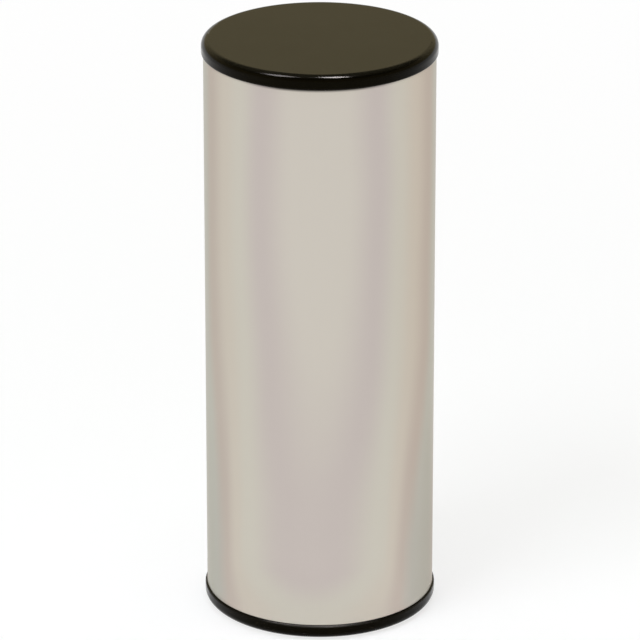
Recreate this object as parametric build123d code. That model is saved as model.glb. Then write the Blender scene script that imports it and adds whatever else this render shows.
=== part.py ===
from build123d import *

from math import atan2, cos, hypot, pi, radians, sin, tan
import os

# Ganza shaker: an aluminium tube closed by two press-in plastic caps, with loose steel beads inside.
# Millimetres, +Z up. The origin is the centre of the lower cap's outer face, on which the shaker stands.

# Tube: drawn aluminium, sawn square and deburred at both ends
TUBE_OUTER_DIAMETER = 50.8
TUBE_WALL = 1.0
TUBE_LENGTH = 125.6
TUBE_EDGE_BREAK = 0.1

# Cap flange: the part of each cap that shows, seated on the sawn end of the tube
FLANGE_THICKNESS = 3.2
FLANGE_OVERHANG = 0.45
FLANGE_EDGE_RADIUS = 1.6
FLANGE_LIP_RADIUS = 0.4

# Cap plug: the hollow skirt that goes into the bore
CAP_FACE_WALL = 2.0
PLUG_DEPTH = 9.0
PLUG_WALL = 1.6
PLUG_CLEARANCE = 0.15
PLUG_DRAFT_DEGREES = 0.5
LEAD_IN_LENGTH = 0.7
LEAD_IN_DEPTH = 0.35
CUP_CORNER_RADIUS = 0.8

# Crush ribs: they stand proud of the plug and bite into the bore, which is what holds a cap in
RIB_COUNT = 12
RIB_RADIUS = 0.6
RIB_INTERFERENCE = 0.05
RIB_END_GAP = 1.5

# Beads: a loose filling of steel balls, lying in layers on the lower cap when the shaker stands
BEAD_COUNT = 55
BEAD_DIAMETER = 5.0
BEAD_GAP = 0.3
BEAD_SEAT_GAP = 0.1

# Sizes that follow from those above
TUBE_RADIUS = TUBE_OUTER_DIAMETER / 2
BORE_RADIUS = TUBE_RADIUS - TUBE_WALL
OVERALL_LENGTH = TUBE_LENGTH + 2 * FLANGE_THICKNESS
FLANGE_RADIUS = TUBE_RADIUS + FLANGE_OVERHANG
PLUG_RADIUS = BORE_RADIUS - PLUG_CLEARANCE
PLUG_END = FLANGE_THICKNESS + PLUG_DEPTH
CUP_RADIUS = PLUG_RADIUS - PLUG_WALL
BEAD_RADIUS = BEAD_DIAMETER / 2
BEAD_PITCH = BEAD_DIAMETER + BEAD_GAP
BEAD_REST_HEIGHT = CAP_FACE_WALL + BEAD_SEAT_GAP + BEAD_RADIUS

# A hexagonal layer: each row is shifted and raised by the sides of this angle's triangle
HEXAGON_ANGLE = radians(60)


def turned(outline, rounds):
    """Revolves a closed half section of (radius, height) points about Z, with rounds as {point: radius}."""
    section = make_face(Polyline(*outline, close=True))
    for point, radius in rounds.items():
        corner = section.vertices().sort_by_distance((*point, 0))[0]
        section = fillet(corner, radius)
    return revolve(Plane.XZ * section, Axis.Z)


def make_tube():
    """The tube, with both edges of each sawn end broken."""
    foot = FLANGE_THICKNESS
    head = FLANGE_THICKNESS + TUBE_LENGTH
    outline = [
        (BORE_RADIUS + TUBE_EDGE_BREAK, foot),
        (TUBE_RADIUS - TUBE_EDGE_BREAK, foot),
        (TUBE_RADIUS, foot + TUBE_EDGE_BREAK),
        (TUBE_RADIUS, head - TUBE_EDGE_BREAK),
        (TUBE_RADIUS - TUBE_EDGE_BREAK, head),
        (BORE_RADIUS + TUBE_EDGE_BREAK, head),
        (BORE_RADIUS, head - TUBE_EDGE_BREAK),
        (BORE_RADIUS, foot + TUBE_EDGE_BREAK),
    ]
    return turned(outline, {})


def make_crush_rib():
    """One half-sunk round bar along the plug, domed at the end that enters the bore first."""
    axis_radius = BORE_RADIUS + RIB_INTERFERENCE - RIB_RADIUS
    length = PLUG_DEPTH - RIB_END_GAP
    bar = Cylinder(RIB_RADIUS, length, align=(Align.CENTER, Align.CENTER, Align.MIN))
    dome = Pos(0, 0, length) * Sphere(RIB_RADIUS)
    return Pos(axis_radius, 0, FLANGE_THICKNESS) * (bar + dome)


def make_cap():
    """A cap as moulded, outer face down on Z = 0 and plug pointing up, drafted inside and out."""
    draft = tan(radians(PLUG_DRAFT_DEGREES))
    outer_end = PLUG_RADIUS - PLUG_DEPTH * draft
    inner_end = CUP_RADIUS + (PLUG_END - CAP_FACE_WALL) * draft
    face_edge = (FLANGE_RADIUS, 0)
    lip_edge = (FLANGE_RADIUS, FLANGE_THICKNESS)
    cup_corner = (CUP_RADIUS, CAP_FACE_WALL)
    outline = [
        (0, 0),
        face_edge,
        lip_edge,
        (PLUG_RADIUS, FLANGE_THICKNESS),
        (outer_end, PLUG_END - LEAD_IN_LENGTH),
        (outer_end - LEAD_IN_DEPTH, PLUG_END),
        (inner_end, PLUG_END),
        cup_corner,
        (0, CAP_FACE_WALL),
    ]
    rounds = {
        face_edge: FLANGE_EDGE_RADIUS,
        lip_edge: FLANGE_LIP_RADIUS,
        cup_corner: CUP_CORNER_RADIUS,
    }
    rib = make_crush_rib()
    ribs = [Rot(0, 0, 360 * index / RIB_COUNT) * rib for index in range(RIB_COUNT)]
    return turned(outline, rounds) + ribs


def from_middle_outward(seat):
    """Sorting key: distance from the axis, then angle round it."""
    x, y = seat
    return round(hypot(x, y), 3), atan2(y, x) % (2 * pi)


def floor_seats():
    """(x, y) of every bead that one hexagonal layer has room for on the lower cap's floor."""
    reach = CUP_RADIUS - BEAD_RADIUS - BEAD_GAP
    row_shift = BEAD_PITCH * cos(HEXAGON_ANGLE)
    row_height = BEAD_PITCH * sin(HEXAGON_ANGLE)
    rows = int(reach / row_height) + 1
    seats = []
    for row in range(-rows, rows + 1):
        for column in range(-2 * rows, 2 * rows + 1):
            seat = (column * BEAD_PITCH + row * row_shift, row * row_height)
            if hypot(*seat) <= reach:
                seats.append(seat)
    return sorted(seats, key=from_middle_outward)


def bead_centres():
    """The centre of each bead: the floor fills first, and what is left over lies in the layer above."""
    seats = floor_seats()
    centres = []
    for index in range(BEAD_COUNT):
        layer, seat = divmod(index, len(seats))
        centres.append((*seats[seat], BEAD_REST_HEIGHT + layer * BEAD_PITCH))
    return centres


def make_beads():
    """The beads as {name: solid}, each clear of its neighbours."""
    return {
        f"bead_{number:02d}": Pos(*centre) * Sphere(BEAD_RADIUS)
        for number, centre in enumerate(bead_centres(), start=1)
    }


def make_pieces():
    """Every piece of the shaker as {name: solid}, where it lies with the shaker standing."""
    cap = make_cap()
    turned_over = Pos(0, 0, OVERALL_LENGTH) * Rot(180, 0, 0)
    return {
        "tube": make_tube(),
        "lower_cap": cap,
        "upper_cap": turned_over * cap,
        **make_beads(),
    }


def main():
    os.makedirs("parts", exist_ok=True)
    for name, piece in make_pieces().items():
        export_step(piece, f"parts/{name}.step")


if __name__ == "__main__":
    main()
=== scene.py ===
import math

import bpy
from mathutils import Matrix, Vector


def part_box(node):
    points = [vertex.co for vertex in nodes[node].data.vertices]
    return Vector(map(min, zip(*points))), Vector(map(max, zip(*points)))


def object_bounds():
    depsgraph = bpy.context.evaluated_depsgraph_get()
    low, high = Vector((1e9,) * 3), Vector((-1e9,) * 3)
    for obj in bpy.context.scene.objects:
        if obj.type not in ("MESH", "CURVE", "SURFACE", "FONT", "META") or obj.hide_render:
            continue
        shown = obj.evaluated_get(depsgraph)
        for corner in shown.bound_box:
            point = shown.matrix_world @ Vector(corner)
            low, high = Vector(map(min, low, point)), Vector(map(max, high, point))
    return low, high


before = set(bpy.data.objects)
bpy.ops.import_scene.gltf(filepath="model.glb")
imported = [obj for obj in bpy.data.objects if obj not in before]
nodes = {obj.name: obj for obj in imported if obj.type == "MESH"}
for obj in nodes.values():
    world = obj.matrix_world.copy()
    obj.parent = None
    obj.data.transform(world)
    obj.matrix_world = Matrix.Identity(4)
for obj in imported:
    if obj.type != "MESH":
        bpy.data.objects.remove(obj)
cad_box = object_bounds()

# The object's main places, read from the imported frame
TUBE_FOOT, TUBE_HEAD = (corner.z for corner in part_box("tube"))
TUBE_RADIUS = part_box("tube")[1].x
CAP_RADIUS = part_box("upper_cap")[1].x
OBJECT_TOP = cad_box[1].z
OBJECT_MIDDLE = (cad_box[0] + cad_box[1]) / 2

# Camera: it looks down at the middle of the object through a long lens
CAMERA_ELEVATION = math.radians(21.859)
CAMERA_DISTANCE = 1.1561
CAMERA_AIM_OFFSET = Vector((0.00004, 0.0, -0.00003))
CAMERA_LENS_MM = 293.3
CAMERA_SENSOR_MM = 36.0
CAMERA_CLIP_END = 50.0

# Room: a white table that runs into a warm wall all round, under a dark ceiling
FLOOR_HALF_SIDE = 6.0
FLOOR_DROP = 0.0002
FLOOR_WHITE = (0.95, 0.95, 0.95, 1)
FLOOR_GLOW = (1.0, 1.0, 1.0, 1)
FLOOR_GLOW_NEAR, FLOOR_GLOW_FAR = 0.72, 1.0
FLOOR_FADE_START, FLOOR_FADE_END = 0.12, 0.5
HORIZON_COLOUR = (1.0, 1.0, 1.0)
WALL_COLOUR = (0.63, 0.535, 0.31)
CEILING_COLOUR = (0.03, 0.03, 0.03)
LAMP_COLOUR = (0.90, 0.95, 1.0)
STRIP_COLOUR = (0.725, 0.748, 1.0)

# The room's colours, each with its degrees above the horizon
ROOM_COLOURS = [(4, HORIZON_COLOUR), (14, WALL_COLOUR), (30, WALL_COLOUR), (40, CEILING_COLOUR)]

# Every finish: most of a noise lies in this range, and bumps have this depth in metres
NOISE_LOW, NOISE_HIGH = 0.3, 0.7
BUMP_DEPTH = 0.00001

# How often each pattern repeats in a metre along X, Y and Z, or round the tube and along it for its lines
LINE_STRETCH = (1800, 6, 1)
TUBE_GRAIN_STRETCH = (9000, 9000, 9000)
TUBE_CLOUD_STRETCH = (60, 60, 25)
WANDER_STRETCH = (18, 18, 14)
CAP_GRAIN_STRETCH = (4200, 4200, 4200)
CAP_CLOUD_STRETCH = (70, 70, 70)
SCRATCH_STRETCH = (130, 3000, 130)
BEAD_SCUFF_STRETCH = (900, 900, 900)
BEAD_CLOUD_STRETCH = (120, 120, 120)

# Tube finish: tints and painted reflection bands, each with its degrees round from the front
HALF_TURN = 180
SILVER = (0.604, 0.562, 0.498)
LILAC = (0.548, 0.490, 0.458)
STRAW = (0.588, 0.556, 0.484)
SAND = (0.590, 0.538, 0.464)
ROSE = (0.530, 0.464, 0.412)
SLATE = (0.527, 0.522, 0.476)
TUBE_TINTS_AND_REFLECTIONS = [
    (0, SILVER), (12, SILVER), (29, LILAC), (43, STRAW), (54, SAND), (68, ROSE), (80, SLATE),
    (90, SLATE), (106, LILAC), (120, STRAW), (136, SILVER), (158, LILAC), (180, STRAW),
]
# A painted warm cast on the tube's right side
WARM_SIDE = (0.988, 0.957, 0.934, 1)
METAL_EDGE_TINT = (0.80, 0.78, 0.72, 1)

# How tints and painted reflection bands run: turns are in degrees, heights are shares from 0 at the tube's
# foot to 1 at its head
LEAN_TURN, LEAN_HEIGHTS = 4, (0.1, 0.45)
GATHER_TURN, GATHER_HEIGHTS = 26, (0.24, 0.9)
FOOT_GATHER_TURN, FOOT_GATHER_HEIGHTS = 17, (0.02, 0.1)
PULL_TURN, PULL_REACH, PULL_HEIGHTS = 13, (38, 52), (0.12, 0.5)
FOOT_PULL, FOOT_PULL_HEIGHTS = 0.3, (0.0, 0.1)
WANDER = 0.012
# Where the painted warm cast on the right side fades in and out, in degrees round from the front
WARM_SIDE_START, WARM_SIDE_END = (35, 56), (100, 150)

# Painted shade on the metal, where and by what share: the painted shadow at the seam reaches in metres
# below the upper cap
FRONT_TURNS, SIDE_TURNS = (20, 42), (48, 58)
FOOT_PAINTED_SHADE, FOOT_SHADE_HEIGHTS = 0.035, (0.0, 0.12)
SIDE_PAINTED_SHADE, SIDE_SHADE_HEIGHTS = 0.08, (0.12, 0.36)
SEAM_PAINTED_SHADOW, SEAM_REACH, SEAM_SHARE_BEHIND = 0.85, (0.0001, 0.0006), 0.2

# Lines in shade and roughness: the denoiser would streak the metal if its roughness crossed 0.274
LINE_SHADE = 0.003
LINE_ROUGHNESS = 0.004
TUBE_ROUGHNESS = (0.285, 0.307)

# Cap finish: reaches are in metres from an end face or from the lip
PLASTIC_DEEP = (0.0018, 0.0014, 0.0006)
PLASTIC_PALE = (0.0026, 0.0021, 0.0009)
SCUFFED_PLASTIC = (0.014, 0.0122, 0.0075, 1)
# Painted highlight colour on the lower lip
LIP_PAINTED_HIGHLIGHT = (0.05, 0.048, 0.045, 1)
FACE_REACH = (0.0001, 0.0006)
FACE_SCUFFS = (0.45, 0.6)
SCRATCH_DEGREES = (20, 75, 140)
SCRATCH_NOISE = (0.60, 0.74)
SCRATCH_SHARE = 0.4
LIP_REACH = (0.0001, 0.0005)
LIP_FACING = (0.84, 0.97)
LIP_SHARE_AT_SIDES = 0.1
LIP_PATCH_NOISE, LIP_PATCHES = (0.3, 0.6), (0.6, 1.0)
CAP_ROUGHNESS = (0.10, 0.13)
GRAIN_ROUGHNESS = 0.01
RUB_ROUGHNESS = 0.25
CAP_SPECULAR_LEVEL = 0.10
CAP_SPECULAR_TINT = (0.40, 0.352, 0.24, 1)

# Bead finish
STEEL_DULL = (0.56, 0.55, 0.53)
STEEL_BRIGHT = (0.64, 0.63, 0.61)
BEAD_SCUFF_NOISE, BEAD_ROUGHNESS = (0.35, 0.65), (0.12, 0.32)


def add(tree, kind, settings=None, **inputs):
    """Adds a node. An input has its socket's name, with _ for a space: it is linked or set to a value."""
    made = tree.nodes.new(kind)
    for name, value in (settings or {}).items():
        setattr(made, name, value)
    for name, value in inputs.items():
        feed(tree, made.inputs[name.replace("_", " ")], value)
    return made


def feed(tree, socket, value):
    """Links a socket to another, or sets it to a value."""
    if isinstance(value, bpy.types.NodeSocket):
        tree.links.new(value, socket)
    else:
        socket.default_value = value


def maths(tree, operation, first, second=0.0, third=0.0):
    """A Math node's result."""
    made = add(tree, "ShaderNodeMath", {"operation": operation})
    for socket, value in zip(made.inputs, (first, second, third)):
        feed(tree, socket, value)
    return made.outputs[0]


def noise(tree, coordinates, stretch, detail=3.0, roughness=0.55, distortion=0.0):
    """Noise from 0 to 1, with features of about 1 / stretch along each axis."""
    scaled = add(tree, "ShaderNodeVectorMath", {"operation": "MULTIPLY"})
    feed(tree, scaled.inputs[0], coordinates)
    feed(tree, scaled.inputs[1], stretch)
    made = add(tree, "ShaderNodeTexNoise", Vector=scaled.outputs[0], Scale=1.0, Detail=detail,
               Roughness=roughness, Distortion=distortion)
    return made.outputs["Fac"]


def remap(tree, value, from_low, from_high, to_low, to_high):
    """A value carried from one range to another, held at its ends."""
    made = add(tree, "ShaderNodeMapRange", Value=value, From_Min=from_low, From_Max=from_high,
               To_Min=to_low, To_Max=to_high)
    return made.outputs["Result"]


def spread(tree, pattern, low, high):
    """A noise spread over a range."""
    return remap(tree, pattern, NOISE_LOW, NOISE_HIGH, low, high)


def ramp(tree, value, stops):
    """Colours eased along a value: stops are (position, colour)."""
    made = add(tree, "ShaderNodeValToRGB", Fac=value)
    band = made.color_ramp
    band.interpolation = "EASE"
    while len(band.elements) < len(stops):
        band.elements.new(1.0)
    for element, (position, colour) in zip(band.elements, stops):
        element.position = position
        element.color = (*colour, 1.0)
    return made.outputs["Color"]


def mix(tree, share, first, second, blend="MIX"):
    """Two colours mixed."""
    made = add(tree, "ShaderNodeMixRGB", {"blend_type": blend}, Fac=share, Color1=first, Color2=second)
    return made.outputs["Color"]


def bump(tree, height, strength, normal=None):
    """A bumped normal, laid on another where one is given."""
    made = add(tree, "ShaderNodeBump", Height=height, Strength=strength, Distance=BUMP_DEPTH)
    if normal is not None:
        tree.links.new(normal, made.inputs["Normal"])
    return made.outputs["Normal"]


def scratches(tree, coordinates, angle):
    """Fine straight scratches, 0 to 1, that all lie at one angle to X on a level face."""
    turned = add(tree, "ShaderNodeVectorRotate", {"rotation_type": "Z_AXIS"},
                 Vector=coordinates, Angle=angle)
    return remap(tree, noise(tree, turned.outputs[0], SCRATCH_STRETCH, 2.0), *SCRATCH_NOISE, 0.0, 1.0)


def new_material(name):
    """A material with its tree, its Principled shader and object coordinates in metres."""
    material = bpy.data.materials.new(name)
    material.use_nodes = True
    tree = material.node_tree
    shader = tree.nodes["Principled BSDF"]
    coordinates = tree.nodes.new("ShaderNodeTexCoord").outputs["Object"]
    return material, tree, shader, coordinates


def tube_tints_and_reflections(tree, place, around, turn, height):
    """Faint tints and painted reflection bands that follow the turn from the front and draw together
    towards the foot.
    """
    gather = maths(tree, "ADD", remap(tree, height, *GATHER_HEIGHTS, GATHER_TURN, 0.0),
                   remap(tree, height, *FOOT_GATHER_HEIGHTS, FOOT_GATHER_TURN, 0.0))
    gather_squared = maths(tree, "MULTIPLY", gather, gather)
    arched = maths(tree, "SQRT", maths(tree, "MULTIPLY_ADD", turn, turn, gather_squared))
    pull = maths(tree, "MINIMUM", remap(tree, height, *FOOT_PULL_HEIGHTS, FOOT_PULL, 1.0),
                 remap(tree, height, *PULL_HEIGHTS, 1.0, 0.0))
    outer = remap(tree, turn, *PULL_REACH, 0.0, PULL_TURN)
    drawn = maths(tree, "MULTIPLY_ADD", outer, pull, arched)
    wander = spread(tree, noise(tree, place, WANDER_STRETCH, 2.0), -WANDER, WANDER)
    share = maths(tree, "MULTIPLY_ADD", drawn, 1 / HALF_TURN, wander)
    # The ramp paints lighter and darker reflection bands along with the tints, lightest at the front
    tint = ramp(tree, share, [(degrees / HALF_TURN, colour) for degrees, colour in TUBE_TINTS_AND_REFLECTIONS])
    # A painted warm cast on the right side of the tube
    painted_cast_share = maths(tree, "MULTIPLY", remap(tree, around, *WARM_SIDE_START, 0.0, 1.0),
                  remap(tree, around, *WARM_SIDE_END, 1.0, 0.0))
    return mix(tree, painted_cast_share, tint, WARM_SIDE, "MULTIPLY")


def tube_painted_shade(tree, z, turn, height):
    """1 where no shade is painted, less where painted shade darkens the foot's front, low on both sides and
    under the upper cap.
    """
    front = remap(tree, turn, *FRONT_TURNS, 1.0, 0.0)
    sides = remap(tree, turn, *SIDE_TURNS, 0.0, 1.0)
    seam = remap(tree, turn, *FRONT_TURNS, 1.0, SEAM_SHARE_BEHIND)
    under_cap = maths(tree, "SUBTRACT", TUBE_HEAD, z)
    painted_darkening = maths(tree, "MULTIPLY", front, remap(tree, height, *FOOT_SHADE_HEIGHTS, FOOT_PAINTED_SHADE, 0.0))
    painted_darkening = maths(tree, "MULTIPLY_ADD", sides, remap(tree, height, *SIDE_SHADE_HEIGHTS, SIDE_PAINTED_SHADE, 0.0), painted_darkening)
    painted_darkening = maths(tree, "MULTIPLY_ADD", seam, remap(tree, under_cap, *SEAM_REACH, SEAM_PAINTED_SHADOW, 0.0), painted_darkening)
    return maths(tree, "SUBTRACT", 1.0, painted_darkening)


def tube_metal():
    """Satin aluminium: fine drawing lines along the tube, a matt grain, faint tints and painted reflection
    bands, and painted shade at the foot, on the sides and under the upper cap.
    """
    material, tree, shader, place = new_material("tube_satin_aluminium")
    axes = add(tree, "ShaderNodeSeparateXYZ", Vector=place).outputs
    forward = maths(tree, "MULTIPLY", axes["Y"], -1.0)
    angle = maths(tree, "ARCTAN2", axes["X"], forward)
    around = maths(tree, "DEGREES", angle)
    height = remap(tree, axes["Z"], TUBE_FOOT, TUBE_HEAD, 0.0, 1.0)
    lean = remap(tree, height, *LEAN_HEIGHTS, LEAN_TURN, 0.0)
    turn = maths(tree, "ABSOLUTE", maths(tree, "ADD", around, lean))

    # Drawing lines run along the tube; the grain has no direction
    arc = maths(tree, "MULTIPLY", angle, TUBE_RADIUS)
    unrolled = add(tree, "ShaderNodeCombineXYZ", X=arc, Y=axes["Z"])
    lines = noise(tree, unrolled.outputs[0], LINE_STRETCH, 3.0, 0.6)
    grain = noise(tree, place, TUBE_GRAIN_STRETCH, 2.0)
    clouds = noise(tree, place, TUBE_CLOUD_STRETCH, 3.0)

    line_shade = spread(tree, lines, 1 - LINE_SHADE, 1 + LINE_SHADE)
    # Painted shade darkens the base colour at the foot's front, low on both sides and under the upper cap
    unshaded_share = tube_painted_shade(tree, axes["Z"], turn, height)
    shade = add(tree, "ShaderNodeVectorMath", {"operation": "SCALE"},
                Scale=maths(tree, "MULTIPLY", unshaded_share, line_shade))
    feed(tree, shade.inputs[0], tube_tints_and_reflections(tree, place, around, turn, height))
    feed(tree, shader.inputs["Base Color"], shade.outputs[0])
    shader.inputs["Metallic"].default_value = 1.0
    shader.inputs["Specular Tint"].default_value = METAL_EDGE_TINT
    matt = maths(tree, "ADD", spread(tree, clouds, *TUBE_ROUGHNESS),
                 spread(tree, lines, -LINE_ROUGHNESS, LINE_ROUGHNESS))
    feed(tree, shader.inputs["Roughness"], matt)
    lined = bump(tree, lines, strength=0.5)
    feed(tree, shader.inputs["Normal"], bump(tree, grain, strength=0.3, normal=lined))
    return material


def cap_plastic():
    """Glossy black plastic with a warm cast: moulded grain, scuffed end faces and a painted highlight on
    the lower lip, which is also rougher there.
    """
    material, tree, shader, place = new_material("cap_moulded_plastic")
    axes = add(tree, "ShaderNodeSeparateXYZ", Vector=place).outputs
    grain = noise(tree, place, CAP_GRAIN_STRETCH, 3.0)
    clouds = noise(tree, place, CAP_CLOUD_STRETCH, 4.0)
    plain = ramp(tree, clouds, [(NOISE_LOW, PLASTIC_DEEP), (NOISE_HIGH, PLASTIC_PALE)])

    # The flat end faces are scuffed by what the shaker stands on
    from_face = maths(tree, "MINIMUM", axes["Z"], maths(tree, "SUBTRACT", OBJECT_TOP, axes["Z"]))
    scuffs = spread(tree, clouds, *FACE_SCUFFS)
    for degrees in SCRATCH_DEGREES:
        scratched = scratches(tree, place, math.radians(degrees))
        scuffs = maths(tree, "MULTIPLY_ADD", scratched, SCRATCH_SHARE, scuffs)
    scuffed = maths(tree, "MULTIPLY", scuffs, remap(tree, from_face, *FACE_REACH, 1.0, 0.0))
    worn = mix(tree, scuffed, plain, SCUFFED_PLASTIC)

    # A painted highlight on the lip under the tube, paler in patches and most at the front and the back;
    # the lip is also rougher there
    from_lip = maths(tree, "ABSOLUTE", maths(tree, "SUBTRACT", axes["Z"], TUBE_FOOT))
    facing = maths(tree, "DIVIDE", maths(tree, "ABSOLUTE", axes["Y"]), CAP_RADIUS)
    patch = maths(tree, "MULTIPLY", remap(tree, facing, *LIP_FACING, LIP_SHARE_AT_SIDES, 1.0),
                  remap(tree, clouds, *LIP_PATCH_NOISE, *LIP_PATCHES))
    rub_and_highlight = maths(tree, "MULTIPLY", remap(tree, from_lip, *LIP_REACH, 1.0, 0.0), patch)
    feed(tree, shader.inputs["Base Color"], mix(tree, rub_and_highlight, worn, LIP_PAINTED_HIGHLIGHT))
    matt = maths(tree, "ADD", spread(tree, clouds, *CAP_ROUGHNESS),
                 spread(tree, grain, -GRAIN_ROUGHNESS, GRAIN_ROUGHNESS))
    feed(tree, shader.inputs["Roughness"], maths(tree, "MULTIPLY_ADD", rub_and_highlight, RUB_ROUGHNESS, matt))
    shader.inputs["Specular IOR Level"].default_value = CAP_SPECULAR_LEVEL
    shader.inputs["Specular Tint"].default_value = CAP_SPECULAR_TINT
    feed(tree, shader.inputs["Normal"], bump(tree, grain, strength=0.2))
    return material


def bead_steel():
    """Polished steel balls, dulled and scratched by rattling against each other."""
    material, tree, shader, place = new_material("bead_polished_steel")
    scuffs = noise(tree, place, BEAD_SCUFF_STRETCH, 6.0, 0.7, 1.5)
    clouds = noise(tree, place, BEAD_CLOUD_STRETCH, 3.0)
    steel = ramp(tree, clouds, [(NOISE_LOW, STEEL_DULL), (NOISE_HIGH, STEEL_BRIGHT)])
    feed(tree, shader.inputs["Base Color"], steel)
    shader.inputs["Metallic"].default_value = 1.0
    feed(tree, shader.inputs["Roughness"], remap(tree, scuffs, *BEAD_SCUFF_NOISE, *BEAD_ROUGHNESS))
    feed(tree, shader.inputs["Normal"], bump(tree, scuffs, strength=0.08))
    return material


def dress(names, material):
    """Gives CAD nodes their finish."""
    for name in names:
        nodes[name].material_slots[0].material = material


def shown_share(tree, share):
    """A share for the rays that show a surface, directly, mirrored or through glass, and 0 for the rest."""
    path = tree.nodes.new("ShaderNodeLightPath").outputs
    seen = maths(tree, "MAXIMUM", path["Is Camera Ray"], path["Is Glossy Ray"])
    seen = maths(tree, "MAXIMUM", seen, path["Is Transmission Ray"])
    return maths(tree, "MULTIPLY", seen, share)


def make_floor():
    """A plain white table that keeps a soft shadow round the object and runs out to pure white."""
    bpy.ops.mesh.primitive_plane_add(size=2 * FLOOR_HALF_SIDE, location=(0, 0, -FLOOR_DROP))
    floor = bpy.context.object
    floor.name = "floor"
    material = bpy.data.materials.new("floor_white")
    material.use_nodes = True
    tree = material.node_tree
    tree.nodes.remove(tree.nodes["Principled BSDF"])
    matt = add(tree, "ShaderNodeBsdfDiffuse", Color=FLOOR_WHITE)
    glow = add(tree, "ShaderNodeEmission", Color=FLOOR_GLOW, Strength=1.0)
    away = add(tree, "ShaderNodeVectorMath", {"operation": "LENGTH"})
    feed(tree, away.inputs[0], tree.nodes.new("ShaderNodeTexCoord").outputs["Object"])
    share = remap(tree, away.outputs["Value"], FLOOR_FADE_START, FLOOR_FADE_END,
                  FLOOR_GLOW_NEAR, FLOOR_GLOW_FAR)
    both = add(tree, "ShaderNodeMixShader", Fac=shown_share(tree, share))
    tree.links.new(matt.outputs[0], both.inputs[1])
    tree.links.new(glow.outputs[0], both.inputs[2])
    tree.links.new(both.outputs[0], tree.nodes["Material Output"].inputs["Surface"])
    floor.data.materials.append(material)


def make_world():
    """The table's white turns into a warm wall all round, which darkens into the ceiling."""
    world = bpy.data.worlds.new("room")
    bpy.context.scene.world = world
    world.use_nodes = True
    tree = world.node_tree
    direction = tree.nodes.new("ShaderNodeTexCoord").outputs["Generated"]
    sine = add(tree, "ShaderNodeSeparateXYZ", Vector=direction).outputs["Z"]
    stops = [(math.sin(math.radians(rise)), colour) for rise, colour in ROOM_COLOURS]
    background = tree.nodes["Background"]
    feed(tree, background.inputs["Color"], ramp(tree, sine, stops))
    background.inputs["Strength"].default_value = 1.0


def make_softbox(name, offset, width, depth, radiance, colour, lights=True, mirrored=True):
    """A soft lamp at an offset from the object's top, which it faces: it lights, is mirrored, or both."""
    lamp = bpy.data.lights.new(name, "AREA")
    lamp.shape = "RECTANGLE"
    lamp.size = width
    lamp.size_y = depth
    lamp.energy = radiance * math.pi * width * depth
    lamp.color = colour
    holder = bpy.data.objects.new(name, lamp)
    bpy.context.scene.collection.objects.link(holder)
    holder.location = Vector((0, 0, OBJECT_TOP)) + Vector(offset)
    holder.rotation_euler = (-Vector(offset)).to_track_quat("-Z", "Y").to_euler()
    holder.visible_diffuse = lights
    holder.visible_glossy = mirrored


def make_lamps():
    """Two strips that only show as highlights, and a fill and a key that only light."""
    make_softbox("strip_left", offset=(-0.557, -0.25, 1.198), width=0.38, depth=0.45, radiance=72.0,
                 colour=STRIP_COLOUR, lights=False)
    make_softbox("strip_right", offset=(0.182, -0.25, 1.198), width=0.24, depth=0.45, radiance=215.0,
                 colour=STRIP_COLOUR, lights=False)
    make_softbox("top_fill", offset=(0.0, 0.1, 1.668), width=1.0, depth=1.0, radiance=6.0,
                 colour=LAMP_COLOUR, mirrored=False)
    make_softbox("key", offset=(-0.85, -0.85, 1.318), width=0.85, depth=0.85, radiance=7.5,
                 colour=LAMP_COLOUR, mirrored=False)


def make_camera():
    """The camera in front of the object, level from side to side and tilted down at it."""
    camera = bpy.data.objects.new("camera", bpy.data.cameras.new("camera"))
    bpy.context.scene.collection.objects.link(camera)
    camera.data.lens = CAMERA_LENS_MM
    camera.data.sensor_width = CAMERA_SENSOR_MM
    back = Vector((0, -math.cos(CAMERA_ELEVATION), math.sin(CAMERA_ELEVATION)))
    camera.location = OBJECT_MIDDLE + CAMERA_AIM_OFFSET + back * CAMERA_DISTANCE
    camera.rotation_euler = (math.pi / 2 - CAMERA_ELEVATION, 0, 0)
    camera.data.clip_end = CAMERA_CLIP_END
    bpy.context.scene.camera = camera


dress(["tube"], tube_metal())
dress(["upper_cap", "lower_cap"], cap_plastic())
dress([name for name in nodes if name.startswith("bead_")], bead_steel())
make_floor()
make_world()
make_lamps()
make_camera()
bpy.context.scene.view_settings.view_transform = "Standard"
